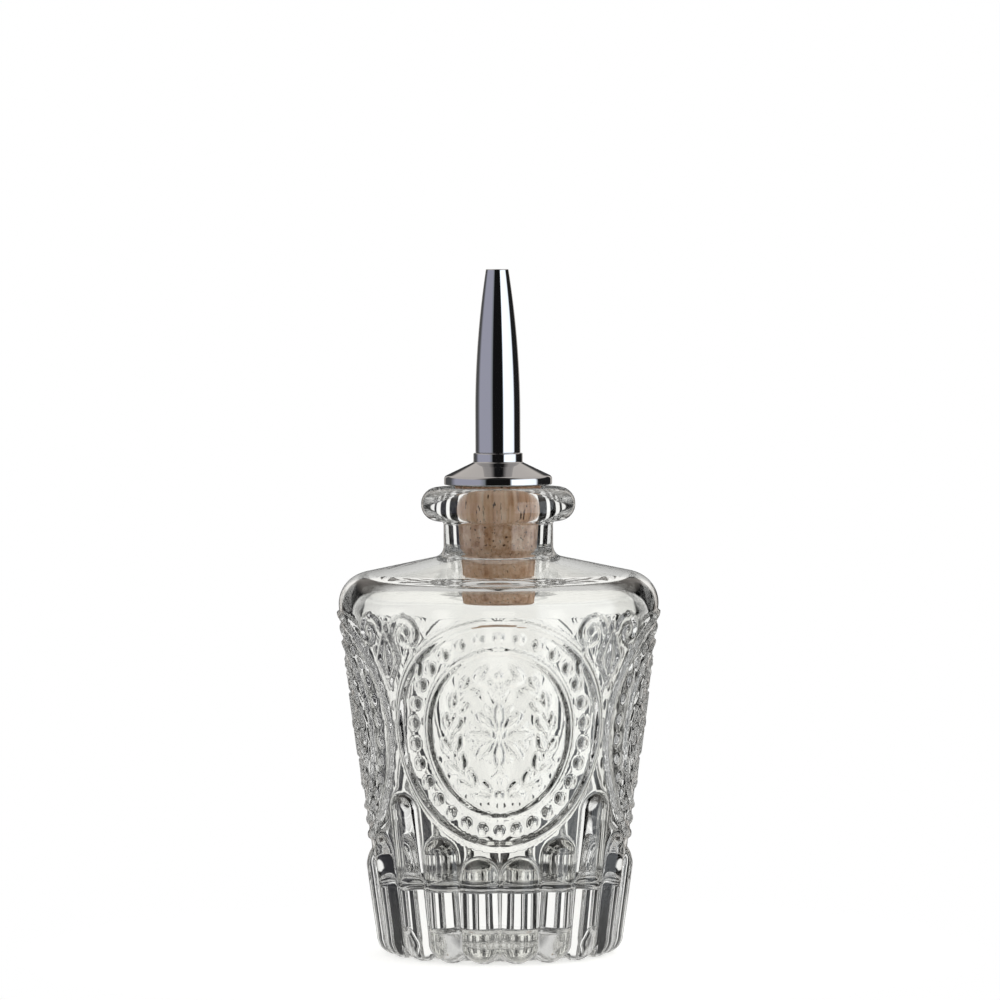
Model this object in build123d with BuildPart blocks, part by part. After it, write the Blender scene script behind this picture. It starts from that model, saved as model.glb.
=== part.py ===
"""A pressed glass bitters bottle with a dash pourer set in its cork, at real size in millimetres.

The bottle stands on z = 0 with its axis on Z, and its front medallion faces -Y. Its wall is a cone that
widens upwards, with twenty convex ribs round the foot, four oval medallions, and a diamond between two
scrolls over each gap between medallions. The pourer is a cork with a metal stem through it, a cone
shaped cap, a tapered tube that is open at its tip, and a small plastic insert that slows the pour.
"""

from build123d import *
from itertools import product
from math import cos, degrees, pi, radians, sin, sqrt, tan
import os

os.makedirs("parts", exist_ok=True)

# Glass wall, shoulder, neck and rolled lip
foot_radius = 24.9  # where the line of the wall meets the table
wall_lean = 7.6  # degrees, outwards as it rises
shoulder_height = 82.3  # where the lines of wall and shoulder meet
shoulder_fall = 12.0  # degrees below level, outwards
shoulder_rounding = 7.0
neck_radius = 12.0
neck_length = 7.5
neck_foot_rounding = 2.5
lip_radius = 16.9
lip_height = 7.4
lip_rounding = 3.6
lip_root_rounding = 0.8
foot_rounding = 12.0  # draws the wall in behind the ribs' round feet
punt_radius = 12.5  # the hollow under the base
punt_roof_radius = 7.5
punt_depth = 2.5
punt_rounding = 6.0

# Hollow of the bottle
base_thickness = 15.5
floor_wall = 3.6
shoulder_wall = 3.0
floor_rounding = 5.0
inner_shoulder_rounding = 5.0
bore_foot_rounding = 1.5
mouth_rounding = 0.8

# Ribs round the foot: from a medallion's middle outwards, two short, two middle, and one tall between
ribs_in_quarter = 5
rib_radius = 4.6
rib_rise = 1.9  # how far a rib stands out of the wall
rib_foot_cut = 0.1  # what the table plane takes off each rib's round end
short_rib_height = 23.5
middle_rib_height = 27.8
tall_rib_height = 37.1

# Medallions, measured along the wall: across at the height of their centre, and up
medallion_count = 4
medallion_height = 50.3
medallion_half_width = 24.0
medallion_half_height = 25.1
outer_rim_width = 1.5
channel_width = 5.0
side_channel_width = 6.1
inner_rim_width = 1.1
relief_height = 0.6
relief_root = 0.6  # how deep the relief is rooted in the wall
oval_arcs = 8
bead_count = 30
bead_radius = 1.22
bead_sink = 0.35

# Wreath and rosette in each medallion
petal_count = 8
petal_ring_radius = 4.3
petal_half_length = 2.7
petal_half_width = 1.3
sepal_ring_radius = 5.6
sepal_half_length = 1.1
sepal_half_width = 0.45
boss_radius = 1.7
boss_sink = 0.7
branch_stations = 8  # pairs of leaves on each of the wreath's two branches
branch_start = -70.0  # degrees from level, where the first pair stands
branch_step = 20.0
wreath_half_width = 10.5
wreath_half_height = 13.1
leaf_stand = 1.15  # from the branch to a leaf's middle
leaf_half_length = 1.95
leaf_half_width = 0.85
leaf_tilt = 24.0  # degrees from the line of the branch

# Diamonds and scrolls between the medallions
diamond_height = 66.3  # of its widest line
diamond_half_width = 3.35
diamond_rise = 7.4
diamond_drop = 5.9
diamond_band = 0.8
eye_half_width = 0.9
eye_half_height = 4.0
scroll_height = 71.6
scroll_offset = 1.6
scroll_radii = (3.6, 3.1, 2.4, 1.7, 1.1)  # of the quarter turns, from the diamond inwards
scroll_width = 0.8

# Cork, which seats in the neck bore
cork_top_radius = 9.5
cork_bottom_radius = 7.76
cork_length = 22.8
cork_chamfer = 0.4
cork_fit = 0.05  # radial clearance in the bore
cork_stand = 0.5  # how far the cork's top stands above the lip

# Metal stem through the cork
stem_radius = 3.0
stem_wall = 0.7
stem_set_back = 0.5  # of its lower end, inside the cork

# Cone shaped cap
cap_radius = 11.83
cap_rim_height = 1.85
cap_cone_rise = 3.1
cap_rim_rounding = 1.0
collar_radius = 5.4
collar_height = 2.0
collar_chamfer = 0.25
socket_depth = 4.5

# Tapered tube
tube_radius = 4.93
tube_wall = 0.7
spigot_radius = 4.68  # the tube's foot, inside the collar
tube_stand = 0.1  # the groove between the collar and the tube's full width
tube_straight = 8.3  # above the collar
tube_reach = 40.26  # from the collar to the tip
tip_radius = 2.46

# Insert in the foot of the tube
insert_skirt_wall = 0.9
insert_plate = 1.2
insert_length = 4.0
orifice_radius = 1.0

seam_turn = 1.0  # degrees, from a diamond's points to where two quarters of the bottle meet
overrun = 5.0  # how far a cut runs past what it cuts

# Worked out from the sizes above
lean_share = tan(radians(wall_lean))
fall_share = tan(radians(shoulder_fall))


def wall_radius(height):
    """Radius of the outer wall, without ribs or relief, at a height."""
    return foot_radius + height * lean_share


shoulder_radius = wall_radius(shoulder_height)
neck_foot = shoulder_height + (shoulder_radius - neck_radius) * fall_share
lip_bottom = neck_foot + neck_length
lip_top = lip_bottom + lip_height
cork_top = lip_top + cork_stand
cork_bottom = cork_top - cork_length
cork_taper_share = (cork_top_radius - cork_bottom_radius) / cork_length
collar_foot = cork_top + cap_rim_height + cap_cone_rise
collar_top = collar_foot + collar_height
socket_floor = collar_top - socket_depth
tube_bore_radius = tube_radius - tube_wall
tip_height = collar_top + tube_reach
middle_radius = wall_radius(medallion_height)
quarter_turn = 90.0


def cork_radius(height):
    """Radius of the cork at a height."""
    return cork_top_radius - (cork_top - height) * cork_taper_share


def facing(across, height):
    """A point of the wall, seen square on from the ornament's own side."""
    return (wall_radius(height) * sin(across / middle_radius), height)


def oval(half_width, half_height):
    """An oval about the medallion's centre, laid on the wall and drawn in arcs."""
    turns = [pi * step / oval_arcs for step in range(2 * oval_arcs + 1)]
    points = [
        facing(half_width * sin(turn), medallion_height + half_height * cos(turn)) for turn in turns
    ]
    for first in range(0, 2 * oval_arcs, 2):
        ThreePointArc(*points[first : first + 3])


def leaf(half_length, half_width, rotation=0):
    """A pointed leaf with four straight sides."""
    tip, side = (half_length, 0), (0, half_width)
    Polygon(tip, side, (-half_length, 0), (0, -half_width), rotation=rotation)


# Glass: outside without ribs or relief
with BuildPart() as glass_bottle:
    with BuildSketch(Plane.XZ):
        with BuildLine():
            FilletPolyline(
                (0, punt_depth),
                (punt_roof_radius, punt_depth),
                (punt_radius, 0),
                (foot_radius, 0),
                (shoulder_radius, shoulder_height),
                (neck_radius, neck_foot),
                (neck_radius, lip_bottom),
                (lip_radius, lip_bottom),
                (lip_radius, lip_top),
                (0, lip_top),
                radius=(
                    punt_rounding,
                    0,
                    foot_rounding,
                    shoulder_rounding,
                    neck_foot_rounding,
                    lip_root_rounding,
                    lip_rounding,
                    lip_rounding,
                ),
            )
            Line((0, lip_top), (0, punt_depth))
        make_face()
    revolve(axis=Axis.Z)

# Ribs of one quarter: round bars that lean with the wall, with round ends, cut flat at the table
rib_foot_centre = rib_radius - rib_foot_cut
rib_arch = sqrt(rib_radius**2 - (rib_radius - rib_rise) ** 2)  # its end, where it meets the wall
half_tops = (short_rib_height, middle_rib_height, tall_rib_height)
rib_tops = half_tops[::-1] + half_tops


def rib_axis(height):
    """A point on a rib's centre line, in the plane y = 0."""
    return Vector(wall_radius(height) + rib_rise - rib_radius, 0, height)


with BuildPart() as ribs:
    rib_pitch = quarter_turn / ribs_in_quarter
    for step, top in enumerate(rib_tops):
        lower = rib_axis(rib_foot_centre)
        upper = rib_axis(top - rib_arch)
        bar = Plane(origin=lower, z_dir=upper - lower)
        round_bar = Solid.make_cylinder(rib_radius, (upper - lower).length, bar)
        turn = rib_pitch * (step + 0.5) - rib_pitch * len(rib_tops) / 2 - quarter_turn
        with Locations(Rotation(0, 0, turn)):
            add(round_bar)
            with Locations(lower, upper):
                Sphere(rib_radius)
    split(bisect_by=Plane.XY, keep=Keep.TOP)

# Relief: prisms that face outwards, kept only within a thin layer over the wall
with BuildPart() as relief_layer:
    with BuildSketch(Plane.XZ):
        layer_foot = medallion_height - medallion_half_height - relief_height
        with BuildLine():
            Polyline(
                (wall_radius(layer_foot) - relief_root, layer_foot),
                (wall_radius(layer_foot) + relief_height, layer_foot),
                (shoulder_radius + relief_height, shoulder_height),
                (shoulder_radius - relief_root, shoulder_height),
                close=True,
            )
        make_face()
    revolve(axis=Axis.Z)

inner_half_width = medallion_half_width - outer_rim_width - side_channel_width
inner_half_height = medallion_half_height - outer_rim_width - channel_width
sepal_turn = quarter_turn * 2 / petal_count  # half a petal's share of the turn
medallion_plane = Plane.XZ
between_turn = radians(quarter_turn / 2)
between_plane = Plane(
    origin=(0, 0, 0),
    x_dir=(cos(between_turn), sin(between_turn), 0),
    z_dir=(sin(between_turn), -cos(between_turn), 0),
)

with BuildPart() as medallion_relief:
    with BuildSketch(medallion_plane):
        for half_width, half_height, width in (
            (medallion_half_width, medallion_half_height, outer_rim_width),
            (inner_half_width, inner_half_height, inner_rim_width),
        ):
            with BuildLine():
                oval(half_width, half_height)
            make_face()
            with BuildLine():
                oval(half_width - width, half_height - width)
            make_face(mode=Mode.SUBTRACT)
        with Locations((0, medallion_height)):
            with PolarLocations(petal_ring_radius, petal_count):
                leaf(petal_half_length, petal_half_width)
            with PolarLocations(sepal_ring_radius, petal_count, start_angle=sepal_turn):
                leaf(sepal_half_length, sepal_half_width)
        for side, step, sway in product((1, -1), range(branch_stations), (1, -1)):
            turn = radians(branch_start + branch_step * step)
            across = side * (wreath_half_width + sway * leaf_stand) * cos(turn)
            up = (wreath_half_height + sway * leaf_stand) * sin(turn)
            heading = side * (degrees(turn) - sway * leaf_tilt) + quarter_turn
            with Locations(facing(across, medallion_height + up)):
                leaf(leaf_half_length, leaf_half_width, heading)
    extrude(amount=shoulder_radius + overrun)
    add(relief_layer.part, mode=Mode.INTERSECT)

# Beads round the medallion's channel, and the rosette's boss
bead_half_width = medallion_half_width - outer_rim_width - side_channel_width / 2
bead_half_height = medallion_half_height - outer_rim_width - channel_width / 2


def on_wall(across, height, sink):
    """A point under the wall's surface, on the front side, for the middle of a round bead."""
    x, z = facing(across, height)
    inside_share = 1 - sink / wall_radius(height)
    return (x * inside_share, -sqrt(wall_radius(height) ** 2 - x**2) * inside_share, z)


bead_turns = [2 * pi * step / bead_count for step in range(bead_count)]
with BuildPart() as medallion_beads:
    with Locations(
        [
            on_wall(bead_half_width * sin(turn), medallion_height + bead_half_height * cos(turn), bead_sink)
            for turn in bead_turns
        ]
    ):
        Sphere(bead_radius)
    with Locations(on_wall(0, medallion_height, boss_sink)):
        Sphere(boss_radius)

with BuildPart() as between_relief:
    with BuildSketch(between_plane):
        inner_share = 1 - diamond_band / diamond_half_width
        for size_share, mode in ((1, Mode.ADD), (inner_share, Mode.SUBTRACT)):
            with BuildLine():
                Polyline(
                    (0, diamond_height + diamond_rise * size_share),
                    (diamond_half_width * size_share, diamond_height),
                    (0, diamond_height - diamond_drop * size_share),
                    (-diamond_half_width * size_share, diamond_height),
                    close=True,
                )
            make_face(mode=mode)
        with Locations((0, diamond_height)):
            leaf(eye_half_height, eye_half_width, quarter_turn)
        with BuildLine() as scroll:
            place, heading = Vector(scroll_offset, scroll_height), Vector(0, 1)
            for radius in scroll_radii:
                arc = JernArc(place, heading, radius, -quarter_turn)
                place, heading = arc @ 1, arc % 1
        trace(scroll.line, line_width=scroll_width)
        with BuildLine() as other_scroll:
            mirror(scroll.line, about=Plane.YZ)
        trace(other_scroll.line, line_width=scroll_width)
    extrude(amount=shoulder_radius + overrun)
    add(relief_layer.part, mode=Mode.INTERSECT)

with BuildPart() as hollow:
    inner_corner = (
        shoulder_radius - shoulder_wall,
        shoulder_height + shoulder_wall * fall_share - shoulder_wall / cos(radians(shoulder_fall)),
    )
    bore_foot = inner_corner[1] + (inner_corner[0] - cork_bottom_radius) * fall_share
    with BuildSketch(Plane.XZ):
        with BuildLine():
            FilletPolyline(
                (0, base_thickness),
                (wall_radius(base_thickness) - floor_wall, base_thickness),
                inner_corner,
                (cork_radius(bore_foot) + cork_fit, bore_foot),
                (cork_radius(lip_top + overrun) + cork_fit, lip_top + overrun),
                (0, lip_top + overrun),
                radius=(floor_rounding, inner_shoulder_rounding, bore_foot_rounding, 0),
            )
            Line((0, lip_top + overrun), (0, base_thickness))
        make_face()
    revolve(axis=Axis.Z)

# One quarter of the bottle, parted from its neighbours just beside the diamonds' points
with BuildPart() as quarter:
    add(glass_bottle.part)
    add(ribs.part, clean=False)
    add(medallion_relief.part, clean=False)
    add(medallion_beads.part, clean=False)
    with Locations(Rotation(0, 0, 0), Rotation(0, 0, -quarter_turn)):
        add(between_relief.part, clean=False)
    add(hollow.part, mode=Mode.SUBTRACT, clean=False)
    lip_face = quarter.faces().filter_by(Plane.XY).sort_by(Axis.Z)[-1]
    fillet(lip_face.edges().sort_by(SortBy.RADIUS)[0], mouth_rounding)
    seam = radians(seam_turn - quarter_turn / 2)
    split(bisect_by=Plane((0, 0, 0), z_dir=(-sin(seam), cos(seam), 0)), keep=Keep.BOTTOM)
    split(bisect_by=Plane((0, 0, 0), z_dir=(cos(seam), sin(seam), 0)), keep=Keep.TOP)

with BuildPart() as bottle:
    with PolarLocations(0, medallion_count):
        add(quarter.part, clean=False)
bottle.part.label = "bottle"
export_step(bottle.part, "parts/bottle.step")

# Cork stopper
with BuildPart() as cork_stopper:
    Cone(
        cork_bottom_radius,
        cork_top_radius,
        cork_length,
        align=(Align.CENTER, Align.CENTER, Align.MIN),
    )
    ends = cork_stopper.edges().filter_by(GeomType.CIRCLE)
    chamfer(ends, cork_chamfer)
    Hole(stem_radius)
cork_stopper.part.locate(Location((0, 0, cork_bottom)))
cork_stopper.part.label = "cork_stopper"
export_step(cork_stopper.part, "parts/cork_stopper.step")

# Metal stem, from inside the cork's lower end to the floor of the cap's socket
with BuildPart() as stem_tube:
    with BuildSketch(Plane.XY.offset(cork_bottom + stem_set_back)):
        Circle(stem_radius)
        Circle(stem_radius - stem_wall, mode=Mode.SUBTRACT)
    extrude(amount=socket_floor - cork_bottom - stem_set_back)
stem_tube.part.label = "stem_tube"
export_step(stem_tube.part, "parts/stem_tube.step")

# Cap: a rim, a cone and a collar, bored for the stem below and the tube above
with BuildPart() as flange_cap:
    with BuildSketch(Plane.XZ):
        with BuildLine():
            FilletPolyline(
                (stem_radius, cork_top),
                (cap_radius, cork_top),
                (cap_radius, cork_top + cap_rim_height),
                (collar_radius, collar_foot),
                (collar_radius, collar_top),
                (spigot_radius, collar_top),
                (spigot_radius, socket_floor),
                (stem_radius, socket_floor),
                radius=(0, cap_rim_rounding, 0, collar_chamfer, 0, 0),
            )
            Line((stem_radius, socket_floor), (stem_radius, cork_top))
        make_face()
    revolve(axis=Axis.Z)
flange_cap.part.label = "flange_cap"
export_step(flange_cap.part, "parts/flange_cap.step")

# Tube: a narrower foot in the collar, straight above it, then drawn in to the tip on a long arc
with BuildPart() as spout_tube:
    taper_start = collar_top + tube_straight
    with BuildSketch(Plane.XZ):
        with BuildLine():
            Polyline(
                (spigot_radius, socket_floor),
                (spigot_radius, collar_top + tube_stand),
                (tube_radius, collar_top + tube_stand),
                (tube_radius, taper_start),
            )
            TangentArc((tube_radius, taper_start), (tip_radius, tip_height), tangent=(0, 1))
            Line((tip_radius, tip_height), (tip_radius - tube_wall, tip_height))
            TangentArc(
                (tube_bore_radius, taper_start),
                (tip_radius - tube_wall, tip_height),
                tangent=(0, 1),
            )
            Line((tube_bore_radius, taper_start), (tube_bore_radius, socket_floor))
            Line((tube_bore_radius, socket_floor), (spigot_radius, socket_floor))
        make_face()
    revolve(axis=Axis.Z)
spout_tube.part.label = "spout_tube"
export_step(spout_tube.part, "parts/spout_tube.step")

# Insert: a small cup upside down in the foot of the tube, with an orifice in its plate
with BuildPart() as dash_insert:
    with BuildSketch(Plane.XY.offset(socket_floor)):
        Circle(tube_bore_radius)
        Circle(tube_bore_radius - insert_skirt_wall, mode=Mode.SUBTRACT)
    extrude(amount=insert_length - insert_plate)
    with BuildSketch(Plane.XY.offset(socket_floor + insert_length - insert_plate)):
        Circle(tube_bore_radius)
        Circle(orifice_radius, mode=Mode.SUBTRACT)
    extrude(amount=insert_plate)
dash_insert.part.label = "dash_insert"
export_step(dash_insert.part, "parts/dash_insert.step")

capacity = hollow.part.volume - pi * cork_radius(lip_top) ** 2 * overrun
print(f"height {tip_height:.2f} mm, width {2 * shoulder_radius:.2f} mm, hollow {capacity / 1000:.0f} ml")
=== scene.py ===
# %% [markdown]
# # A pressed glass bitters bottle with a dash pourer
#
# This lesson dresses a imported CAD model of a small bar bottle. The CAD model fixes every size and every
# joint. Here the same shapes are made again as fine, smooth surfaces with the carving that pressed
# glass has, and each gets the finish of its real material. All sizes below are in millimetres, and one
# function turns them to Blender's metres when it makes a mesh.

from math import cos, degrees, pi, radians, sin, sqrt, tan

import bpy
import numpy as np
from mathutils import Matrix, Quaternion, Vector


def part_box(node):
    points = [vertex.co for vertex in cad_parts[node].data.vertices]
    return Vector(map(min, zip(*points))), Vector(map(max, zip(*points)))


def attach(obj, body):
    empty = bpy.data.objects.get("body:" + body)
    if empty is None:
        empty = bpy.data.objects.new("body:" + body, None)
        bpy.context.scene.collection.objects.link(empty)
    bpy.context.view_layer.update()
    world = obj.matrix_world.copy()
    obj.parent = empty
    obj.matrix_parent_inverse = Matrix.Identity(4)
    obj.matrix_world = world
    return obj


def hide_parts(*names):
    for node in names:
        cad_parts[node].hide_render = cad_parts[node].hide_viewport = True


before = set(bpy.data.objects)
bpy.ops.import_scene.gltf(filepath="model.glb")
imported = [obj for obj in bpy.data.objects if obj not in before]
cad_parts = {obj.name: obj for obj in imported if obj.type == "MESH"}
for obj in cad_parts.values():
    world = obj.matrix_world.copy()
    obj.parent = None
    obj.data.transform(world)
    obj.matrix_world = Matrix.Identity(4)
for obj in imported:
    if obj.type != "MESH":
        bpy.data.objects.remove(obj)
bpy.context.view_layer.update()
for name in sorted(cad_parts):
    low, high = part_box(name)
    print(f"{name}: {low.z * 1000:.2f} to {high.z * 1000:.2f} mm up, {(high.x - low.x) * 1000:.2f} mm wide")

# %% [markdown]
# ## One sheet of faces from many rings
#
# Every piece of this bottle is round, so every piece can be thought of as a stack of rings. A ring is an
# array of points, and a face joins two neighbours of one ring to two of the next. The relief needs three
# times as many points round the glass as the plain neck does, so where the number drops to a third, each
# point of the coarse ring takes a small fan of the fine one. A ring of one point closes the middle.
# Blender's Spin or Screw would make plain rings too, but they can't carry relief.

# %% Rings to mesh
MILLIMETRE = 0.001
FAN = 3  # points of a fine ring for each point of a coarse one


def skin(rings, closed):
    """Faces of three or four corners from each ring to the next, and from last to first if closed."""
    counts = [len(ring) for ring in rings]
    starts = np.concatenate([[0], np.cumsum(counts)]).astype(int)
    pairs = [(i, i + 1) for i in range(len(rings) - 1)] + ([(len(rings) - 1, 0)] if closed else [])
    fours, threes = [np.zeros((0, 4), int)], [np.zeros((0, 3), int)]
    for low, high in pairs:
        a, b, low_count, high_count = starts[low], starts[high], counts[low], counts[high]
        many = max(low_count, high_count)
        i = np.arange(many)
        j = (i + 1) % many
        if low_count == high_count:
            fours.append(np.stack([a + i, a + j, b + j, b + i], axis=1))
        elif high_count == 1:
            threes.append(np.stack([a + i, a + j, b + 0 * i], axis=1))
        elif low_count == 1:
            threes.append(np.stack([a + 0 * i, b + j, b + i], axis=1))
        else:
            few = min(low_count, high_count)
            apex = ((i + 1) // FAN) % few
            k = np.arange(few)
            if low_count > high_count:
                threes.append(np.stack([a + i, a + j, b + apex], axis=1))
                threes.append(np.stack([a + FAN * k + 2, b + (k + 1) % few, b + k], axis=1))
            else:
                threes.append(np.stack([a + apex, b + j, b + i], axis=1))
                threes.append(np.stack([a + k, a + (k + 1) % few, b + FAN * k + 2], axis=1))
    return np.concatenate(rings), np.concatenate(fours), np.concatenate(threes)


def signed_volume(points, fours, threes):
    """Six times the volume that the faces wrap, positive if they face outwards."""
    corners = np.concatenate([threes, fours[:, [0, 1, 2]], fours[:, [0, 2, 3]]])
    p, q, r = (points[corners[:, n]] for n in range(3))
    return float(np.einsum("ij,ij->i", p, np.cross(q, r)).sum())


def piece(name, rings, body, node, closed=False, crease=None):
    """Makes a mesh from rings in millimetres, in place of its CAD node, and lets it ride on its body."""
    points, fours, threes = skin(rings, closed)
    if signed_volume(points, fours, threes) < 0:
        fours, threes = fours[:, ::-1], threes[:, ::-1]
    mesh = bpy.data.meshes.new(name)
    mesh.vertices.add(len(points))
    mesh.vertices.foreach_set("co", (points * MILLIMETRE).ravel())
    mesh.loops.add(fours.size + threes.size)
    mesh.loops.foreach_set("vertex_index", np.concatenate([fours.ravel(), threes.ravel()]))
    sizes = np.concatenate([np.full(len(fours), 4), np.full(len(threes), 3)])
    mesh.polygons.add(len(sizes))
    mesh.polygons.foreach_set("loop_start", np.cumsum(sizes) - sizes)
    mesh.update(calc_edges=True)
    mesh.validate()
    mesh.shade_smooth()
    if crease:
        mesh.set_sharp_from_angle(angle=radians(crease))
    made = bpy.data.objects.new(name, mesh)
    bpy.context.scene.collection.objects.link(made)
    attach(made, body)
    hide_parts(node)
    low, high = points[:, 2].min(), points[:, 2].max()
    print(f"{name}: {2 * len(fours) + len(threes)} triangles, {low:.2f} to {high:.2f} mm up")
    return made


# %% [markdown]
# ## Outlines with rounded corners
#
# Glass flows and metal is polished, so neither has a sharp corner. An outline is given as the corners of
# a polygon, as a turner's drawing would, and each corner gets a rounding. A Bevel modifier could round
# the finished rings, but a rounding in the outline stays exactly the size that it is given.


# %% Rounded outlines
def rounded(corners, roundings, step_degrees=11.25):
    """A polyline whose corners become arcs: each touches both sides at rounding times tan(turn / 2)."""
    points, corner_steps = [corners[0]], np.broadcast_to(step_degrees, len(roundings))
    threes = zip(corners, corners[1:], corners[2:], roundings, corner_steps)
    for before, corner, after, rounding, fineness in threes:
        if not rounding:
            points.append(corner)
            continue
        before, corner, after = (np.array(p, float) for p in (before, corner, after))
        back, ahead = before - corner, after - corner
        back, ahead = back / np.hypot(*back), ahead / np.hypot(*ahead)
        turn = pi - np.arccos(np.clip(back @ ahead, -1, 1))
        reach = rounding * tan(turn / 2)
        centre = corner + (back + ahead) / np.hypot(*(back + ahead)) * rounding / cos(turn / 2)
        steps = max(2, round(degrees(turn) / fineness))
        start = corner + back * reach - centre
        side = np.sign(start[1] * back[0] - start[0] * back[1])
        angles = side * turn * np.arange(steps + 1) / steps
        points += [
            tuple(centre + (start[0] * cos(t) - start[1] * sin(t), start[0] * sin(t) + start[1] * cos(t)))
            for t in angles
        ]
    return np.array(points + [corners[-1]], float)


def divided(outline, longest, guard=0.12):
    """The outline with its long runs cut up, and a guard point near each of their ends to keep them flat."""
    cut = []
    for start, end in zip(outline, outline[1:]):
        run = np.hypot(*(end - start))
        shares = np.array([0.0])
        if run > 6 * guard:
            inner = np.linspace(guard / run, 1 - guard / run, 1 + int(np.ceil(run / longest)))
            shares = np.concatenate([shares, inner])
        cut.append(start + (end - start) * shares[:, None])
    return np.concatenate(cut + [outline[-1:]])


def turned(outline, columns):
    """Rings of an outline turned about the upright axis: r and z give the points (r sin a, -r cos a, z)."""
    angle = np.arange(columns) * 2 * pi / columns
    r, z = outline[:, :1], outline[:, 1:]
    rings = np.stack([r * np.sin(angle), -r * np.cos(angle), z + 0 * angle], axis=-1)
    return [ring[:1] if radius < 1e-9 else ring for ring, radius in zip(rings, outline[:, 0])]


# %% [markdown]
# ## Sizes of the glass
#
# The real bottle is made in one go: a gob of hot soda-lime glass is pressed or blown into an iron mould
# that has the whole relief cut into it, and a flame then softens the skin until it shines. These are the
# same sizes as the CAD model has, so the fine surface lies on the solid that it stands for. Only the
# hollow under the base is deeper and wider here: it hides behind the feet, and its roof draws the line
# that runs across the ribs a little above them.

# %% Glass sizes
foot_radius, lean = 24.9, tan(radians(7.6))
fall_angle = radians(12.0)
shoulder_height, fall = 82.3, tan(fall_angle)
neck_radius, neck_length = 12.0, 7.5
lip_radius, lip_height = 16.9, 7.4
base_thickness, floor_wall, shoulder_wall = 15.5, 3.6, 3.0
cork_top_radius, cork_bottom_radius, cork_length = 9.5, 7.76, 22.8
cork_gap = 0.05
foot_rounding, shoulder_rounding = 7.5, 7.0
punt_radius, punt_roof, punt_depth = 16.6, 14.2, 7.6


def wall_radius(height):
    """Radius of the plain outer wall: a cone, so the foot's radius plus the height times the lean."""
    return foot_radius + height * lean


shoulder_radius = wall_radius(shoulder_height)
neck_foot = shoulder_height + (shoulder_radius - neck_radius) * fall
lip_bottom = neck_foot + neck_length
lip_top = lip_bottom + lip_height
cork_top = lip_top + 0.5
cork_bottom = cork_top - cork_length


def cork_radius(height):
    """Radius of the tapered cork at a height."""
    return cork_top_radius - (cork_top - height) * (cork_top_radius - cork_bottom_radius) / cork_length


wall_outline = rounded(
    [(0, punt_depth), (punt_roof, punt_depth), (punt_radius, 0), (foot_radius, 0)]
    + [(shoulder_radius, shoulder_height), (neck_radius, neck_foot)],
    [2.5, 0.8, foot_rounding, shoulder_rounding],
    [8, 15, 2, 2],
)


def core_radius(height):
    """Radius of the plain outside at a height, read off its outline with the rounded foot and shoulder."""
    outside = wall_outline[wall_outline[:, 0] > punt_radius]
    return np.interp(height, outside[:, 1], outside[:, 0])


print(f"lip at {lip_top:.2f} mm, cork from {cork_bottom:.2f} to {cork_top:.2f} mm")

# %% [markdown]
# ## Relief as a height over the wall
#
# Each carved form is a function that says how far the glass stands out of the plain wall at a point. A
# point is given by the turn from the middle of the nearest medallion and by its height. Sculpting could
# give the same, but a formula repeats four times without a flaw and needs no image.

# %% Basic carved forms
def ridge(distance, half_width, height):
    """A flat backed bar: height times 1 - t to the fourth, t being the distance over the half width."""
    share = np.clip(np.abs(distance) / half_width, 0, 1)
    return height * (1 - share**4)


def oval_distance(across, up, half_width, half_height):
    """Distance from an oval's line, negative inside: its implicit value less one, over its slope."""
    value = np.hypot(across / half_width, up / half_height) + 1e-9
    slope = np.hypot(across / half_width**2, up / half_height**2) / value
    return (value - 1) / slope


def dome(distance, radius, height):
    """A round button: height times 1 - t cubed, t being the distance from its middle over its radius."""
    return height * (1 - np.clip(distance / radius, 0, 1) ** 3)


def leaf(along, across, half_length, half_width, height):
    """A pointed oval, 1 - t to the fourth across its width, which shrinks as 1 - s squared along it."""
    width = half_width * np.maximum(1 - (along / half_length) ** 2, 1e-6)
    share = np.clip(np.abs(across) / width, 0, 1)
    return height * np.where(np.abs(along) < half_length, 1 - share**4, 0)


def leaf_towards(heading, across, up, half_length, half_width, height):
    """A leaf that points along a heading: its two coordinates are the plane's, turned by that angle."""
    along = across * np.cos(heading) + up * np.sin(heading)
    beside = up * np.cos(heading) - across * np.sin(heading)
    return leaf(along, beside, half_length, half_width, height)


# %% [markdown]
# ## The medallion
#
# A plain raised rim, a channel with thirty round beads, a thinner rim, and inside it two laurel branches
# round an eight-petalled rosette. Rosette and wreath are a common old ornament.


# %% Sizes of the medallion
medallion_height = 50.3
middle_radius = wall_radius(medallion_height)
rim_oval, rim_half_width, rim_rise = (23.25, 24.35), 0.85, 0.62
inner_oval, inner_half_width, inner_rise = (15.85, 18.05), 0.65, 0.5
bead_oval, bead_step, bead_radius, bead_rise = (19.45, 21.1), 2 * pi / 30, 1.22, 0.5
petal_rings = ((4.3, 0, 2.7, 1.3, 0.5), (5.6, pi / 8, 1.2, 0.5, 0.28))  # place, turn, half sizes, rise
petal_step = 2 * pi / 8
boss_radius, boss_rise = 1.6, 0.65
branch_oval, branch_half_width, branch_rise, branch_end = (10.5, 13.1), 0.4, 0.22, radians(76)
leaf_places = [radians(-70 + 20 * number) for number in range(8)]
leaf_stand, leaf_tilt, wreath_leaf = 1.15, radians(24), (1.95, 0.88, 0.42)
berries, berry_rise = ((-13.1, 1.0), (12.9, 0.8)), 0.5  # height over the middle, and radius
tuft_height, tuft_reach, tuft_half_width, tuft_rise = 8.2, 1.0, 0.6, 0.32
tuft_leaves = ((-48, 1.5), (0, 1.8), (48, 1.5))  # degrees from upright, and half length


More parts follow.
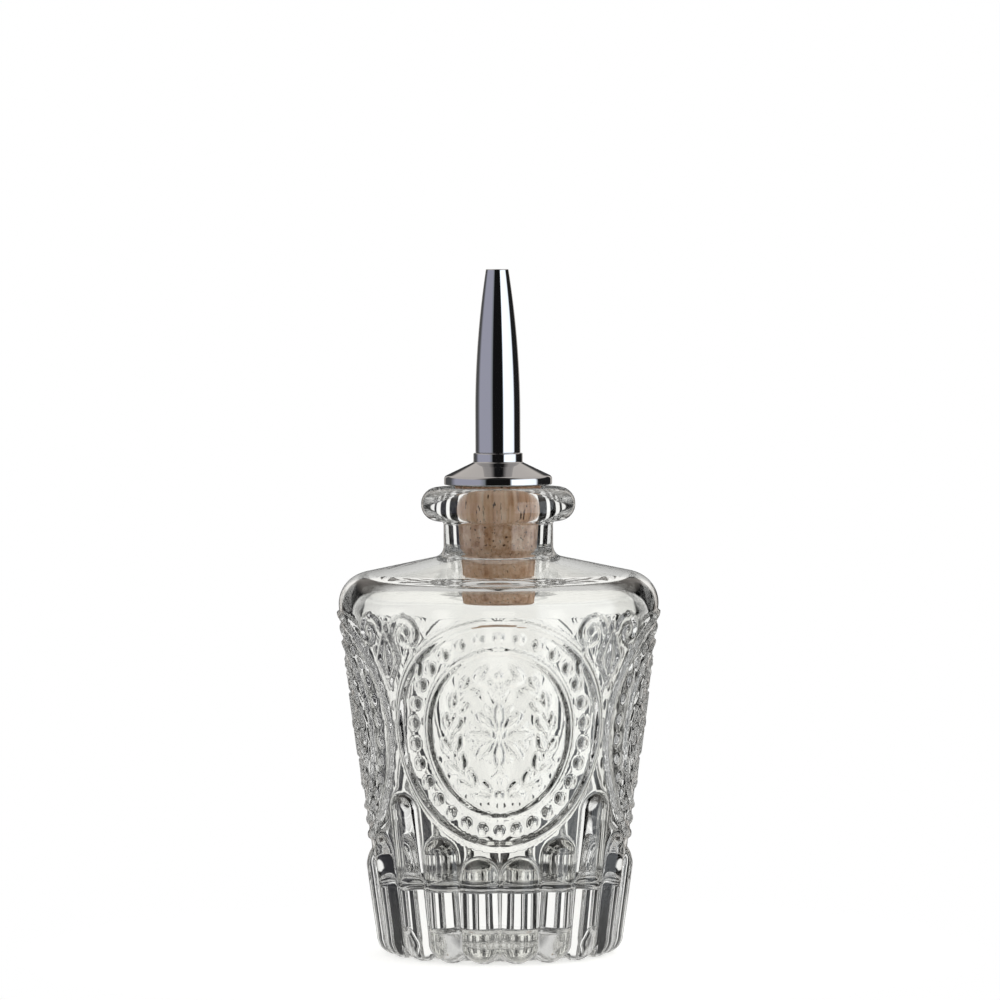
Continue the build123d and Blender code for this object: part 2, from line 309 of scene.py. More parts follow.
# %% Medallion relief
def rim_and_beads(turn, height):
    """The two rims and the beads, measured along the wall: each bead is a button round its own middle."""
    across, up = turn * middle_radius, height - medallion_height
    relief = ridge(oval_distance(across, up, *rim_oval), rim_half_width, rim_rise)
    inner_rim = ridge(oval_distance(across, up, *inner_oval), inner_half_width, inner_rise)
    relief = np.maximum(relief, inner_rim)
    bead_across, bead_up = bead_oval
    bead = np.round(np.arctan2(across / bead_across, up / bead_up) / bead_step) * bead_step
    aside = (across - bead_across * np.sin(bead)) * wall_radius(height) / middle_radius
    away = np.hypot(aside, up - bead_up * np.cos(bead))
    return np.maximum(relief, dome(away, bead_radius, bead_rise))


def rosette(flat, up):
    """Eight petals and eight sepals, each the leaf whose heading is nearest, and a boss in the middle."""
    relief = dome(np.hypot(flat, up), boss_radius, boss_rise)
    for ring, shift, half_length, half_width, rise in petal_rings:
        petal = np.round((np.arctan2(up, flat) - shift) / petal_step) * petal_step + shift
        across, above = flat - ring * np.cos(petal), up - ring * np.sin(petal)
        relief = np.maximum(relief, leaf_towards(petal, across, above, half_length, half_width, rise))
    return relief


def wreath(flat, up):
    """Two branches on an oval, with pairs of leaves that lean out of its line, and a berry at each end."""
    side, (branch_across, branch_up) = np.abs(flat), branch_oval
    on_branch = np.abs(np.arctan2(up, side)) < branch_end
    relief = ridge(oval_distance(flat, up, *branch_oval), branch_half_width, branch_rise) * on_branch
    for place in leaf_places:
        for sway in (1, -1):
            heading = place + pi / 2 - sway * leaf_tilt
            turn = (branch_across + leaf_stand * sway) * cos(place) / middle_radius
            across = side - middle_radius * sin(turn)
            above = up - (branch_up + leaf_stand * sway) * sin(place)
            relief = np.maximum(relief, leaf_towards(heading, across, above, *wreath_leaf))
    for berry_height, radius in berries:
        relief = np.maximum(relief, dome(np.hypot(side, up - berry_height), radius, berry_rise))
    return relief


def tufts(flat, up):
    """Three leaves that fan out over the rosette, and three under it."""
    relief = 0 * flat
    for end in (-1, 1):
        for spread, half_length in tuft_leaves:
            heading = radians(90 + spread) * end
            across = flat - tuft_reach * cos(heading)
            above = up - end * tuft_height - tuft_reach * sin(heading)
            fan = leaf_towards(heading, across, above, half_length, tuft_half_width, tuft_rise)
            relief = np.maximum(relief, fan)
    return relief


def medallion(turn, height):
    """Height of one medallion's relief: the highest of its forms, the inner ones seen square on."""
    flat, up = wall_radius(height) * np.sin(turn), height - medallion_height
    forms = (rim_and_beads(turn, height), rosette(flat, up), wreath(flat, up), tufts(flat, up))
    return np.maximum.reduce(np.broadcast_arrays(*forms))


# %% [markdown]
# ## Between the medallions
#
# Over each gap between two medallions stands a long diamond with a slit of an eye, and from its top two
# volutes roll outwards like the scrolls of a capital. Each volute is a chain of quarter circles.

# %% Sizes of the diamond and volutes
diamond_height, diamond_half_width, diamond_rise, diamond_drop = 66.3, 3.35, 7.4, 5.9
band_share, band_scale, band_half_width, band_rise = 0.88, 3.0, 0.42, 0.5
eye_leaf = (4.0, 0.95, 0.6)
volute_arcs = (  # across and up of the centre, radius, and the angle where the quarter starts
    (5.2, 71.6, 3.6, 180),
    (5.2, 72.1, 3.1, 90),
    (5.9, 72.1, 2.4, 0),
    (5.9, 71.4, 1.7, -90),
    (5.3, 71.4, 1.1, -180),
)
quarter, far_away, volute_half_width, volute_rise = 92, 9.0, 0.42, 0.45  # each quarter laps the next
button_place, button_radius, button_rise = (5.5, 72.2), 0.9, 0.5
spray = ((7.6, 67.5, 115, 1.9), (8.2, 64.4, 75, 1.6))  # across, up, heading in degrees, half length
spray_half_width, spray_rise = 0.5, 0.45


# %% Diamond and volutes
def between(turn, height):
    """Height of the diamond, its eye, the two volutes and the leaves under each."""
    flat = np.abs(wall_radius(height) * np.sin(turn))
    up = height - diamond_height
    share = flat / diamond_half_width + np.abs(up) / np.where(up > 0, diamond_rise, diamond_drop)
    relief = ridge((share - band_share) * band_scale, band_half_width, band_rise)
    relief = np.maximum(relief, leaf(up, flat, *eye_leaf))
    for centre_across, centre_up, radius, start in volute_arcs:
        across, above = flat - centre_across, height - centre_up
        inside = (start - np.degrees(np.arctan2(above, across))) % 360
        distance = np.where(inside <= quarter, np.abs(np.hypot(across, above) - radius), far_away)
        relief = np.maximum(relief, ridge(distance, volute_half_width, volute_rise))
    away = np.hypot(flat - button_place[0], height - button_place[1])
    relief = np.maximum(relief, dome(away, button_radius, button_rise))
    for across, above, tilt, half_length in spray:
        sizes = (half_length, spray_half_width, spray_rise)
        relief = np.maximum(relief, leaf_towards(radians(tilt), flat - across, height - above, *sizes))
    return relief


# %% [markdown]
# ## Ribs round the foot
#
# Twenty round bars lean with the wall and end in round tops and round feet. Seen from outside, a bar at
# a given height is a circle, so its radius from the bottle's axis is found as where a ray from the axis
# leaves that circle. Where a rib meets the wall the glass has a small hollow, because it flowed there.

# %% Ribs
rib_radius, rib_rise, foot_cut, valley = 4.6, 1.9, 0.1, 0.35
rib_arch = sqrt(rib_radius**2 - (rib_radius - rib_rise) ** 2)
rib_foot_centre = rib_radius - foot_cut
rib_degrees = 18
rib_pitch = radians(rib_degrees)
rib_tops = np.array([23.5, 27.8, 37.1])  # from the one next to a medallion's middle outwards


def rib_offset(turn):
    """The turn from the nearest rib's middle, and the height of that rib's top."""
    side = np.abs(turn)
    number = np.clip((np.degrees(side) // rib_degrees).astype(int), 0, len(rib_tops) - 1)
    return side - np.radians(rib_degrees / 2 + rib_degrees * number), rib_tops[number]


def soft_higher(first, second, blend):
    """The higher of two, their corner filled: half of the sum plus sqrt(difference^2 + blend^2)."""
    return (first + second + np.sqrt((first - second) ** 2 + blend**2)) / 2


def rib_reach(turn, height):
    """Radius of the rib's surface, c cos d + sqrt(R^2 - c^2 sin^2 d), blended with the next rib's."""
    offset, top = rib_offset(turn)
    ball = top - rib_arch
    centre = wall_radius(np.minimum(height, ball)) + rib_rise - rib_radius
    size = np.maximum(rib_radius**2 - np.maximum(height - ball, 0) ** 2, 0)
    reaches = []
    for away in (offset, rib_pitch - np.abs(offset)):
        under = size - (centre * np.sin(away)) ** 2
        reaches.append(np.where(under > 0, centre * np.cos(away) + np.sqrt(np.maximum(under, 0)), 0))
    return soft_higher(*reaches, valley)


def from_medallion(angle):
    """The turn from the nearest of four middles, from -45 to 45 degrees."""
    return (angle + pi / 4) % (pi / 2) - pi / 4


# %% [markdown]
# ## The outer surface, from the table to the shoulder
#
# Rows of the wall are close together where the relief is, and wide apart on the plain ribs. The ribs end
# in balls that the bottle stands on, and the wall is drawn in behind them. There, a radius for each
# height would not do, so each point is found along a ray that swings from straight down to straight out.

# %% Wall and foot rings
fine_columns = 480
columns = fine_columns // FAN
angles = np.arange(fine_columns) * 2 * pi / fine_columns
turns = from_medallion(angles)
relief_rows = np.arange(18.5, 75.7, 0.5)
wall_rows = np.concatenate([[4.5, 6.0, 8.0, 10.5, 13.5, 16.5, 18.0], relief_rows, [76.0, 76.6, 77.3]])
wall_blend = 0.22


def ring_of(radius, height):
    """Points all round at one radius for each column."""
    return np.stack([radius * np.sin(angles), -radius * np.cos(angles), height + 0 * angles], axis=-1)


height_grid, turn_grid = wall_rows[:, None], turns[None, :]
gap_grid = from_medallion(turn_grid + pi / 4)
relief = np.maximum(medallion(turn_grid, height_grid), between(gap_grid, height_grid))
outer = soft_higher(core_radius(height_grid) + relief, rib_reach(turn_grid, height_grid), wall_blend)
wall_rings = [ring_of(outer[row], wall_rows[row]) for row in range(len(wall_rows))]

ray_foot = np.array([19.0, 4.5])
spare_inwards, spare_upwards = 1.5, 3  # how far the outline is read past the rays' own sweep
outline_radius, outline_height = wall_outline.T
far_out = outline_radius > ray_foot[0] - spare_inwards
low_down = outline_height < ray_foot[1] + spare_upwards
core = wall_outline[far_out & low_down]
core_angle = np.arctan2(core[:, 1] - ray_foot[1], core[:, 0] - ray_foot[0])
core_length = np.hypot(*(core - ray_foot).T)
rays = np.radians([-90, -84, -79, -73, -66, -58, -50, -43, -38, -33, -28, -23, -18, -12, -6])


def foot_ring(ray):
    """The ring that one ray angle gives: as far as the core's or the rib's round foot, cut at the table."""
    core_reach = np.interp(ray, core_angle, core_length)
    offset, _ = rib_offset(turns)
    centre = wall_radius(rib_foot_centre) + rib_rise - rib_radius
    ribs = []
    for away in (offset, rib_pitch - np.abs(offset)):
        out = centre * np.cos(away) - ray_foot[0]
        under = rib_radius**2 - (centre * np.sin(away)) ** 2 - (out * sin(ray)) ** 2
        ribs.append(np.where(under > 0, out * cos(ray) + np.sqrt(np.maximum(under, 0)), 0))
    rib = soft_higher(*ribs, valley * cos(ray))
    reach = np.minimum(soft_higher(core_reach, rib, wall_blend * cos(ray)), -ray_foot[1] / sin(ray))
    return ring_of(ray_foot[0] + reach * cos(ray), ray_foot[1] + reach * sin(ray))


foot_rings = [foot_ring(ray) for ray in rays]
print(f"{len(wall_rings)} wall rows, {len(foot_rings)} foot rows, {fine_columns} columns")

# %% [markdown]
# ## The rest of the glass, and the finished shell
#
# Under the base is a hollow, so that the bottle stands on a ring. Over the wall come the shoulder, the
# neck and the rolled lip, and then the surface turns in and runs down the bore and the inner wall to the
# floor. The inner wall of moulded glass is never quite even, so it gets slow, shallow waves: they bend
# what is seen through the bottle a little, which tells the eye that it is glass.

# %% Shell of the bottle
row_spacing, join_gap, top_start = 4.2, 0.4, 70
base_end = np.argmax(wall_outline[:, 0] > ray_foot[0] - join_gap)
base_outline = divided(wall_outline[:base_end], row_spacing)
inner_height = shoulder_height + shoulder_wall * fall - shoulder_wall / cos(fall_angle)
inner_corner = (shoulder_radius - shoulder_wall, inner_height)
bore_foot = inner_height + (inner_corner[0] - cork_bottom_radius) * fall
top_outline = rounded(
    [
        (wall_radius(top_start), top_start),
        (shoulder_radius, shoulder_height),
        (neck_radius, neck_foot),
        (neck_radius, lip_bottom),
        (lip_radius, lip_bottom),
        (lip_radius, lip_top),
        (cork_radius(lip_top) + cork_gap, lip_top),
        (cork_radius(bore_foot) + cork_gap, bore_foot),
        inner_corner,
        (wall_radius(base_thickness) - floor_wall, base_thickness),
        (0, base_thickness),
    ],
    [shoulder_rounding, 2.5, 0.8, 3.6, 3.6, 0.8, 1.5, 5, 5],
    [4.5, 6, 15, 7, 7, 20, 8, 5, 8],
)
top_first = np.argmax(top_outline[:, 1] > wall_rows[-1] + join_gap)
top_outline = divided(top_outline[top_first:], row_spacing)
under_neck, well_inside = lip_bottom - 8, wall_radius(top_outline[:, 1]) - 2.5
inside = np.nonzero((top_outline[:, 1] < under_neck) & (top_outline[:, 0] < well_inside))[0]
wave_height, middling_radius = 0.04, 28
wave_low, low_fade, wave_high, high_fade = 19, 8, 80, 6
waves = ((1, 5, 6.1, 0), (0.8, 8, -4.3, 1.2))  # share, number round the glass, height for a radian, start


def uneven(rings):
    """Waves on the inner wall, 0.07 mm high and 22 to 38 mm long, which fade out at floor and bore."""
    waved = []
    for number, ring in enumerate(rings):
        if number in inside and len(ring) > 1:
            angle = np.arctan2(ring[:, 0], -ring[:, 1])
            height = ring[0, 2]
            room = np.clip((height - wave_low) / low_fade, 0, 1)
            room = room * np.clip((wave_high - height) / high_fade, 0, 1)
            wave = sum(share * np.sin(n * angle + height / rise + start) for share, n, rise, start in waves)
            outwards = np.stack([wave, wave, 0 * wave], axis=1)
            ring = ring * (1 + outwards * wave_height * room / middling_radius)
        waved.append(ring)
    return waved


base_rings, top_rings = turned(base_outline, columns), uneven(turned(top_outline, columns))
glass_rings = base_rings + foot_rings + wall_rings + top_rings
glass = piece("pressed_glass", glass_rings, "bottle", "bottle")

# %% [markdown]
# ## Cork
#
# A tapered stopper punched from bark. Its ends have a small chamfer, and its skin has shallow pits where
# a lenticel was cut. The pits only go inwards, so the cork keeps clear of the glass.

# %% Cork stopper
stem_radius, stem_wall = 3.0, 0.7
chamfer, cork_row, cork_crease = 0.4, 0.45, 50
cork_corners = [
    (stem_radius, cork_bottom),
    (cork_bottom_radius - chamfer, cork_bottom),
    (cork_radius(cork_bottom + chamfer), cork_bottom + chamfer),
    (cork_radius(cork_top - chamfer), cork_top - chamfer),
    (cork_top_radius - chamfer, cork_top),
    (stem_radius, cork_top),
]
cork_outline = divided(np.array(cork_corners), cork_row)
pit_count, pit_margin, pit_depth = 34, 1, 0.35
cork_side_radius, cork_end_radius = 8.7, 7  # pits are measured on the first, and keep outside the second
pits = np.random.default_rng(7)
pit_turns = pits.uniform(-pi, pi, pit_count)
pit_heights = pits.uniform(cork_bottom + pit_margin, cork_top - pit_margin, pit_count)
pit_places = np.stack([pit_turns, pit_heights], axis=1)
pit_sizes = np.stack([pits.uniform(0.35, 1.1, pit_count), pits.uniform(0.15, 0.4, pit_count)], axis=1)
pit_places[0], pit_sizes[0] = (-0.02, 86.1), (0.42, 0.3)  # one shows in front, through the neck


def pitted(ring):
    """Each pit takes 0.35 mm times exp(-(a^2 + b^2)) off the radius, a across and b up over its sizes."""
    angle, radius = np.arctan2(ring[:, 0], -ring[:, 1]), np.hypot(ring[:, 0], ring[:, 1])
    across = (angle[:, None] - pit_places[:, 0] + pi) % (2 * pi) - pi
    up = ring[:, 2:] - pit_places[:, 1]
    across, up = across * cork_side_radius / pit_sizes[:, 0], up / pit_sizes[:, 1]
    depth = pit_depth * np.exp(-(across**2) - up**2).max(axis=1)
    share = np.where(radius > cork_end_radius, 1 - np.minimum(depth, pit_depth) / radius, 1)
    return ring * np.stack([share, share, 1 + 0 * share], axis=1)


cork_rings = [pitted(ring) for ring in turned(cork_outline, columns)]
cork = piece("natural_cork", cork_rings, "pourer", "cork_stopper", closed=True, crease=cork_crease)

# %% [markdown]
# ## Chrome flange and pouring tube
#
# The flange is a stamped cone with a rolled rim and a short collar, and the tube is drawn down to its
# tip on one long arc. A mirror finish shows every facet, so these outlines have close rows where they
# bend, and the rings have many columns.

# %% Pourer
cap_radius, rim_height, cone_rise, collar_radius, collar_height = 11.83, 1.85, 3.1, 5.4, 2.0
collar_foot = cork_top + rim_height + cone_rise
collar_top = collar_foot + collar_height
socket_depth, spigot_radius, tube_stand = 4.5, 4.68, 0.1
socket_floor = collar_top - socket_depth
tube_radius, tube_wall, tube_straight, tube_reach, tip_radius = 4.93, 0.7, 8.3, 40.26, 2.46
fine_round, metal_columns, small_columns = 5, 240, 96
flange_seam = (stem_radius, cork_top + 0.9)
flange_outline = rounded(
    [
        flange_seam,
        (stem_radius, cork_top),
        (cap_radius, cork_top),
        (cap_radius, cork_top + rim_height),
        (collar_radius, collar_foot),
        (collar_radius, collar_top),
        (spigot_radius, collar_top),
        (spigot_radius, socket_floor),
        (stem_radius, socket_floor),
        flange_seam,
    ],
    [0.1, 0.3, 0.9, 0.45, 0.25, 0.1, 0.1, 0.1],
    fine_round,
)[:-1]
flange_rings = turned(divided(flange_outline, 1.0), metal_columns)
flange = piece("chrome_flange", flange_rings, "pourer", "flange_cap", closed=True)

taper_start, tip_height = collar_top + tube_straight, collar_top + tube_reach
taper_rows, tip_edge = 32, 0.3
bend = (tip_height - taper_start) ** 2 / (2 * (tube_radius - tip_radius)) + (tube_radius - tip_radius) / 2
rise = np.linspace(0, 1, taper_rows + 1)[1:] * (tip_height - tip_edge - taper_start)
drawn_in = bend - np.sqrt(bend**2 - rise**2)
outer_taper = np.stack([tube_radius - drawn_in, taper_start + rise], axis=1)
inner_taper = outer_taper[::-1] - (tube_wall, 0)
tip_corners = [(tip_radius, tip_height), (tip_radius - tube_wall, tip_height)]
tip = rounded([tuple(outer_taper[-1]), *tip_corners, tuple(inner_taper[0])], [0.22, 0.22], 15)[1:-1]
foot_of_tube = rounded(
    [
        (tube_radius - tube_wall, taper_start),
        (tube_radius - tube_wall, socket_floor),
        (spigot_radius, socket_floor),
        (spigot_radius, collar_top + tube_stand),
        (tube_radius, collar_top + tube_stand),
        (tube_radius, taper_start),
    ],
    [0.1, 0.1, 0.05, 0.12],
    15,
)
tube_outline = np.concatenate([divided(foot_of_tube, 1.2), outer_taper, tip, inner_taper])
tube_rings = turned(tube_outline, metal_columns)
tube = piece("chrome_pouring_tube", tube_rings, "pourer", "spout_tube", closed=True)

# %% [markdown]
# ## The parts that hardly show
#
# A thin steel stem carries the flange down through the cork, and a small white plastic cup in the foot
# of the tube lets the bitters out drop by drop. They are seen only from below or through the tip, but
# they are real parts, so they get real edges too.

# %% Stem and insert
coarse_round = 22.5
stem_bore, stem_foot = stem_radius - stem_wall, cork_bottom + 0.5
stem_outline = rounded(
    [
        (stem_bore, cork_bottom + 4),
        (stem_bore, stem_foot),
        (stem_radius, stem_foot),
        (stem_radius, socket_floor),
        (stem_bore, socket_floor),
        (stem_bore, cork_bottom + 4),
    ],
    [0.2, 0.2, 0.2, 0.2],
    coarse_round,
)[:-1]
stem_rings = turned(divided(stem_outline, 2.0), small_columns)
stem = piece("steel_stem", stem_rings, "pourer", "stem_tube", closed=True)

bore, insert_wall, hole_radius = tube_radius - tube_wall, 0.9, 1.0
insert_ceiling, insert_top = socket_floor + 2.8, socket_floor + 4.0
insert_outline = rounded(
    [
        (bore, socket_floor + 1),
        (bore, insert_top),
        (hole_radius, insert_top),
        (hole_radius, insert_ceiling),
        (bore - insert_wall, insert_ceiling),
        (bore - insert_wall, socket_floor),
        (bore, socket_floor),
        (bore, socket_floor + 1),
    ],
    [0.25, 0.15, 0.15, 0.3, 0.1, 0.1],
    coarse_round,
)[:-1]
insert_rings = turned(divided(insert_outline, 0.8), small_columns)
insert = piece("dash_restrictor", insert_rings, "pourer", "dash_insert", closed=True)

# %% [markdown]
# ## Colours and nodes
#
# Colours are written as the hex values that a designer would pick from a swatch, and one function turns
# them to the linear values that light adds up in. One more function adds a node, sets it and links it.


# %% Helpers for materials
def colour(swatch):
    """A hex colour as linear red, green, blue and alpha."""
    channels = np.array([int(swatch[i : i + 2], 16) for i in (1, 3, 5)]) / 255
    linear = np.where(channels <= 0.04045, channels / 12.92, ((channels + 0.055) / 1.055) ** 2.4)
    return (*linear, 1.0)


def node(tree, kind, inputs=(), **settings):
    """Adds a node. Inputs pairs a socket's name or number with its value or with what feeds it."""
    made = tree.nodes.new(kind)
    for name, value in settings.items():
        setattr(made, name, value)
    for socket, value in dict(inputs).items():
        if isinstance(value, bpy.types.NodeSocket):
            tree.links.new(value, made.inputs[socket])
        else:
            made.inputs[socket].default_value = value
    return made.outputs[0] if made.outputs else made


def ramp(tree, factor, stops, interpolation="LINEAR"):
    """A colour ramp from a list of place and colour."""
    made = node(tree, "ShaderNodeValToRGB", {"Fac": factor}).node
    made.color_ramp.interpolation = interpolation
    elements = made.color_ramp.elements
    while len(elements) < len(stops):
        elements.new(0.5)
    for element, (place, value) in zip(elements, stops):
        element.position = place
        element.color = value
    return made.outputs[0]


def per_mm(spacing):
    """A texture's scale for a pattern that repeats at this spacing, because coordinates are in metres."""
    return 1000 / spacing


def new_material(name):
    """An empty material, its node tree, and its Object coordinates."""
    material = bpy.data.materials.new(name)
    material.use_nodes = True
    tree = material.node_tree
    tree.nodes.clear()
    place = node(tree, "ShaderNodeTexCoord").node.outputs["Object"]
    return material, tree, place


def finish_with(material, tree, shader, *objects):
    """Links the shader to the output and gives the material to its pieces."""
    node(tree, "ShaderNodeOutputMaterial", {"Surface": shader})
    for target in objects:
        target.data.materials.clear()
        target.data.materials.append(material)


# %% [markdown]
# ## Soda-lime glass, fire polished
#
# Clear glass has an index of refraction of about 1.52 and hardly any colour: a trace of grey-green from
# iron. The flame leaves a skin that is smooth to the touch but very slightly rippled over a few
# millimetres, and that ripple is what makes reflections on pressed glass swim.

# %% Glass
material, tree, place = new_material("pressed_soda_lime_glass")
ripple = node(
    tree, "ShaderNodeTexNoise", {"Vector": place, "Scale": per_mm(7), "Detail": 2.0, "Roughness": 0.5}
)
bump = node(tree, "ShaderNodeBump", {"Height": ripple, "Strength": 0.35, "Distance": 0.06 * MILLIMETRE})
shader = node(
    tree,
    "ShaderNodeBsdfPrincipled",
    {
        "Base Color": colour("#fafaf7"),
        "Roughness": 0.0,
        "IOR": 1.52,
        "Transmission Weight": 1.0,
        "Normal": bump,
    },
)
finish_with(material, tree, shader, glass)

# %% [markdown]
# ## Bright chrome plate
#
# Nickel under a thin skin of chromium, polished first. It mirrors what is round it almost fully, with a
# faint cold tint. Handling leaves a film, so the roughness drifts a little over a few millimetres.

# %% Chrome
material, tree, place = new_material("bright_chrome_plate")
film = node(tree, "ShaderNodeTexNoise", {"Vector": place, "Scale": per_mm(5), "Detail": 4.0})
rough = node(
    tree,
    "ShaderNodeMapRange",
    {"Value": film, "From Min": 0.3, "From Max": 0.75, "To Min": 0.03, "To Max": 0.07},
)
plating = {"Base Color": colour("#c3c4c7"), "Metallic": 1.0, "Roughness": rough}
shader = node(tree, "ShaderNodeBsdfPrincipled", plating)
finish_with(material, tree, shader, flange, tube)

# %% [markdown]
# ## Natural cork
#
# Bark of the cork oak: pale brown, with growth lines along the stopper, darker lenticels a few tenths of
# a millimetre across, and small blotches. It is dry and matt, and every dark speck is also a small hole.

# %% Cork
material, tree, place = new_material("natural_cork_bark")
stretch = node(tree, "ShaderNodeMapping", {"Vector": place, "Scale": (1.0, 1.0, 0.4)})
growth, blotch, specks = (
    node(
        tree,
        "ShaderNodeTexNoise",
        {"Vector": vector, "Scale": per_mm(spacing), "Detail": detail, "Roughness": roughness},
    )
    for vector, spacing, detail, roughness in (
        (stretch, 0.8, 5.0, 0.6),
        (place, 3.2, 4.0, 0.6),
        (place, 0.55, 2.0, 0.5),
    )
)
lenticel = node(tree, "ShaderNodeMapRange", {"Value": specks, "From Min": 0.62, "From Max": 0.69})
mixed = node(tree, "ShaderNodeMath", {0: growth, 1: blotch}, operation="ADD")
halved = node(tree, "ShaderNodeMath", {0: mixed, 1: 0.5}, operation="MULTIPLY")
bark_stops = ((0.34, "#986a45"), (0.45, "#cfa383"), (0.56, "#e8c5a7"), (0.7, "#f6e2d0"))
bark = ramp(tree, halved, [(stop, colour(swatch)) for stop, swatch in bark_stops])
dark = node(
    tree, "ShaderNodeMix", {0: lenticel, 6: bark, 7: colour("#4a2f1b")}, data_type="RGBA"
).node.outputs[2]
pores = node(tree, "ShaderNodeMath", {0: halved, 1: lenticel}, operation="SUBTRACT")
bump = node(tree, "ShaderNodeBump", {"Height": pores, "Strength": 0.6, "Distance": 0.15 * MILLIMETRE})
shader = node(
    tree, "ShaderNodeBsdfPrincipled", {"Base Color": dark, "Roughness": 0.85, "IOR": 1.4, "Normal": bump}
)
finish_with(material, tree, shader, cork)

# %% [markdown]
# ## Drawn stainless steel, and natural polyethylene
#
# The stem was drawn through a die, which leaves fine lines along it. The insert is moulded from
# unpigmented polyethylene, which is milky, waxy and a little translucent.

# %% Steel and plastic
material, tree, place = new_material("drawn_stainless_steel")
stretch = node(tree, "ShaderNodeMapping", {"Vector": place, "Scale": (1.0, 1.0, 0.02)})
lines = node(tree, "ShaderNodeTexNoise", {"Vector": stretch, "Scale": per_mm(0.15), "Detail": 3.0})
rough = node(tree, "ShaderNodeMapRange", {"Value": lines, "To Min": 0.18, "To Max": 0.38})
bump = node(tree, "ShaderNodeBump", {"Height": lines, "Strength": 0.3, "Distance": 0.02 * MILLIMETRE})
shader = node(
    tree,
    "ShaderNodeBsdfPrincipled",
    {"Base Color": colour("#c9c8c5"), "Metallic": 1.0, "Roughness": rough, "Normal": bump},
)
finish_with(material, tree, shader, stem)

material, tree, place = new_material("natural_polyethylene")
grain = node(tree, "ShaderNodeTexNoise", {"Vector": place, "Scale": per_mm(0.4), "Detail": 2.0})
milky = ramp(tree, grain, [(0.3, colour("#e9e8e2")), (0.7, colour("#f2f1ec"))])
bump = node(tree, "ShaderNodeBump", {"Height": grain, "Strength": 0.2, "Distance": 0.02 * MILLIMETRE})
shader = node(
    tree,
    "ShaderNodeBsdfPrincipled",
    {
        "Base Color": milky,
        "Roughness": 0.42,
        "IOR": 1.51,
        "Subsurface Weight": 0.3,
        "Subsurface Scale": MILLIMETRE,
        "Normal": bump,
    },
)
finish_with(material, tree, shader, insert)

# %% [markdown]
# ## A bright field to light glass by
#
# Glass has no colour of its own to light: it shows its surroundings, bent. A photographer puts a bright
# panel behind it and keeps the sides dark, so that the steep edges of the glass turn dark against the
# white. Here the world does that. Straight to the camera it is white. To light that has come through
# the glass it is eight bright windows, wide and narrow by turns, with dark gaps between them and light
# again high above and far below, so the edges draw themselves from every side. To a mirror it is a white
# card on the right, a lilac one on the left, beige strips behind, a beige ceiling, and a dark room at the
# camera.

# %% World
world = bpy.data.worlds.new("bright_field")
bpy.context.scene.world = world
world.use_nodes = True
tree = world.node_tree
tree.nodes.clear()
ray = node(tree, "ShaderNodeLightPath").node.outputs
direction = node(tree, "ShaderNodeTexCoord").node.outputs["Generated"]
parts = node(tree, "ShaderNodeSeparateXYZ", {"Vector": direction}).node.outputs
toward = node(tree, "ShaderNodeMath", {0: parts["Y"], 1: -1.0}, operation="MULTIPLY")
angle = node(tree, "ShaderNodeMath", {0: parts["X"], 1: toward}, operation="ARCTAN2")
around = node(tree, "ShaderNodeMapRange", {"Value": angle, "From Min": -pi, "From Max": pi})


def grey(value, warm=0.0):
    """A grey of that brightness; warm above zero is yellower and below zero bluer."""
    return (value * (1 + warm), value, value * (1 - warm), 1.0)


def at(turn):
    """Place on the ramp of a direction that many degrees to the right of the camera's."""
    return 0.5 + turn / 360


lilac_card, beige_wall = (0.52, 0.52, 0.62, 1.0), (0.72, 0.67, 0.62, 1.0)
mirror_bands = ramp(
    tree,
    around,
    [
        (0.0, grey(0.06)),
        (at(-168), grey(0.06)),
        (at(-162), beige_wall),
        (at(-150), grey(0.1)),
        (at(-122), grey(0.12)),
        (at(-104), lilac_card),
        (at(-40), lilac_card),
        (at(-29), grey(0.33, -0.07)),
        (at(-25), grey(0.01)),
        (at(26), grey(0.01)),
        (at(31), grey(2.1, -0.06)),
        (at(88), grey(1.8, -0.06)),
        (at(95), grey(0.02)),
        (at(150), grey(0.02)),
        (at(156), beige_wall),
        (at(162), beige_wall),
        (at(168), grey(0.06)),
    ],
)
above = ramp(
    tree,
    around,
    [
        (0.0, beige_wall),
        (at(-60), beige_wall),
        (at(-25), grey(0.02)),
        (at(35), grey(0.02)),
        (at(70), beige_wall),
        (1.0, beige_wall),
    ],
)
overhead = node(tree, "ShaderNodeMapRange", {"Value": parts["Z"], "From Min": 0.34, "From Max": 0.44})
mirrored = node(
    tree, "ShaderNodeMix", {0: overhead, 6: mirror_bands, 7: above}, data_type="RGBA"
).node.outputs[2]

upright = node(tree, "ShaderNodeMapRange", {"Value": parts["Z"], "From Min": -1.0, "From Max": 1.0})


def by_height(stops):
    """A ramp over the rise of a direction, with its stops given as the sine of the elevation."""
    return ramp(tree, upright, [((rise + 1) / 2, grey(value)) for rise, value in stops])


def cosine(count):
    """The cosine of count times the angle round the horizon."""
    times = node(tree, "ShaderNodeMath", {0: angle, 1: count}, operation="MULTIPLY")
    return node(tree, "ShaderNodeMath", {0: times}, operation="COSINE")


uneven_windows = node(
    tree, "ShaderNodeMath", {0: cosine(4.0), 1: 0.55, 2: cosine(8.0)}, operation="MULTIPLY_ADD"
)
windows = node(
    tree,
    "ShaderNodeMapRange",
    {"Value": uneven_windows, "From Min": 0.0, "From Max": 0.25},
    interpolation_type="SMOOTHSTEP",
)
level = node(
    tree,
    "ShaderNodeMath",
    {0: windows, 1: by_height([(-0.5, 0.0), (-0.4, 1.03), (0.35, 1.03), (0.5, 0.0)])},
    operation="MULTIPLY",
)
ends = by_height([(-0.85, 0.9), (-0.7, 0.0), (0.48, 0.0), (0.66, 0.65)])
through = node(tree, "ShaderNodeMath", {0: level, 1: ends}, operation="ADD")

